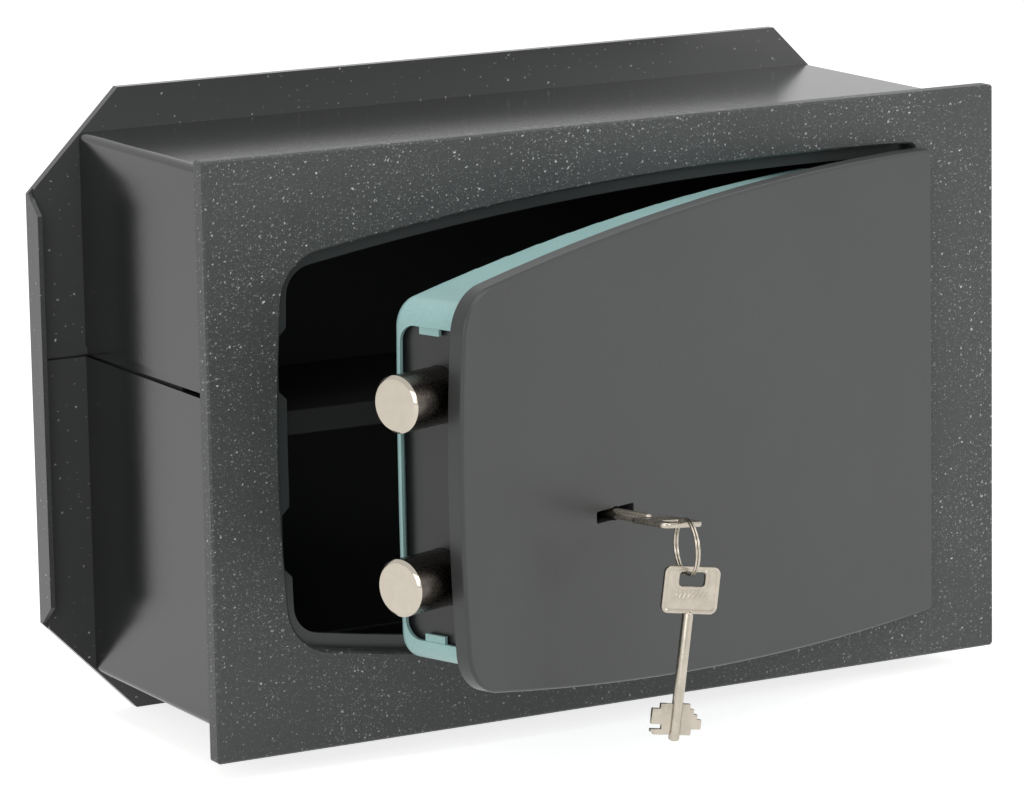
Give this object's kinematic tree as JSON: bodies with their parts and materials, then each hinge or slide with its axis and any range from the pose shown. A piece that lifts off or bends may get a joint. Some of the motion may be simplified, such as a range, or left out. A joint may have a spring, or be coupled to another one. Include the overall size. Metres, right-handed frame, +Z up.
{
  "type": "wall safe",
  "caption": "Built-in wall safe with a framed, arched door ajar on hidden hinges, round bolts thrown, a folded sheet body, and a key with a spare on a ring.",
  "frame": {"origin": "middle of the back plate's rear face", "axes": "+X to the right as seen from the front, +Y into the wall, +Z up"},
  "size_m": [0.3884, 0.2526, 0.256],
  "materials": {
    "speckled_paint": "dark grey powder coat with pale flecks",
    "grey_paint": "dark grey powder coat",
    "door_paint": "satin dark grey powder coat",
    "teal_paint": "satin light teal paint",
    "nickel": "nickel plated, satin",
    "zinc_steel": "zinc plated sheet",
    "plain_steel": "turned steel",
    "lever_brass": "stamped brass"
  },
  "bodies": {
    "body": {"front_frame": "speckled_paint", "stop_plate": "grey_paint", "upper_shell": "grey_paint", "lower_shell": "grey_paint", "back_plate": "speckled_paint", "shelf": "grey_paint", "left_rail": "grey_paint", "right_rail": "grey_paint", "upper_hinge_bracket": "grey_paint", "lower_hinge_bracket": "grey_paint", "hinge_pins": "plain_steel"},
    "door": {"door_plate": "door_paint", "upper_hinge_arm": "door_paint", "lower_hinge_arm": "door_paint", "door_casing": "teal_paint", "casing_studs": "plain_steel", "casing_screws": "plain_steel", "bolt_guide": "door_paint", "lock_case": "zinc_steel", "lock_cover": "zinc_steel", "lock_posts": "plain_steel", "lock_partition": "zinc_steel", "lever_guides": "plain_steel", "lever_spring": "plain_steel"},
    "bolts": {"upper_bolt": "nickel", "lower_bolt": "nickel", "bolt_bar": "zinc_steel", "bar_screws": "plain_steel"},
    "drum": {"key_drum": "plain_steel"},
    "levers": {"levers": "lever_brass"},
    "key": {"lock_key": "nickel"},
    "ring": {"key_ring": "nickel"},
    "spare": {"spare_key": "nickel"}
  },
  "joints": [
    {"name": "door_swing", "type": "hinge", "parent": "body", "child": "door", "pos_m": [0.164, -0.1175, 0], "axis": [0, 0, 1], "range_deg": [-19.35, 70.65]},
    {"name": "key_turn", "type": "hinge", "parent": "door", "child": "drum", "pos_m": [-0.055, -0.17597, -0.021], "axis": [-0.3313, 0.9435, 0], "range_deg": [0, 180]},
    {"name": "bolts_slide", "type": "slide", "parent": "door", "child": "bolts", "axis": [0.9435, 0.3313, 0], "range_m": [0, 0.02199]},
    {"name": "key_pull", "type": "slide", "parent": "drum", "child": "key", "axis": [0.3313, -0.9435, 0], "range_m": [0, 0.06]},
    {"name": "ring_turn", "type": "hinge", "parent": "key", "child": "ring", "pos_m": [-0.03246, -0.24134, -0.0292], "axis": [0.9873, -0.159, 0], "range_deg": [-20, 20]},
    {"name": "spare_swing", "type": "hinge", "parent": "ring", "child": "spare", "pos_m": [-0.03246, -0.24134, -0.03991], "axis": [0.159, 0.9873, 0], "range_deg": [-12, 5]},
    {"name": "lever_lift", "type": "slide", "parent": "door", "child": "levers", "axis": [0, 0, 1], "range_m": [0, 0.0015], "stiffness_N_per_m": 200, "springref_m": -0.005, "deforming": ["lever_spring"]}
  ],
  "couplings": [
    {"joint": "key_turn", "follows": "bolts_slide", "rad_per_m": 142.86}
  ]
}
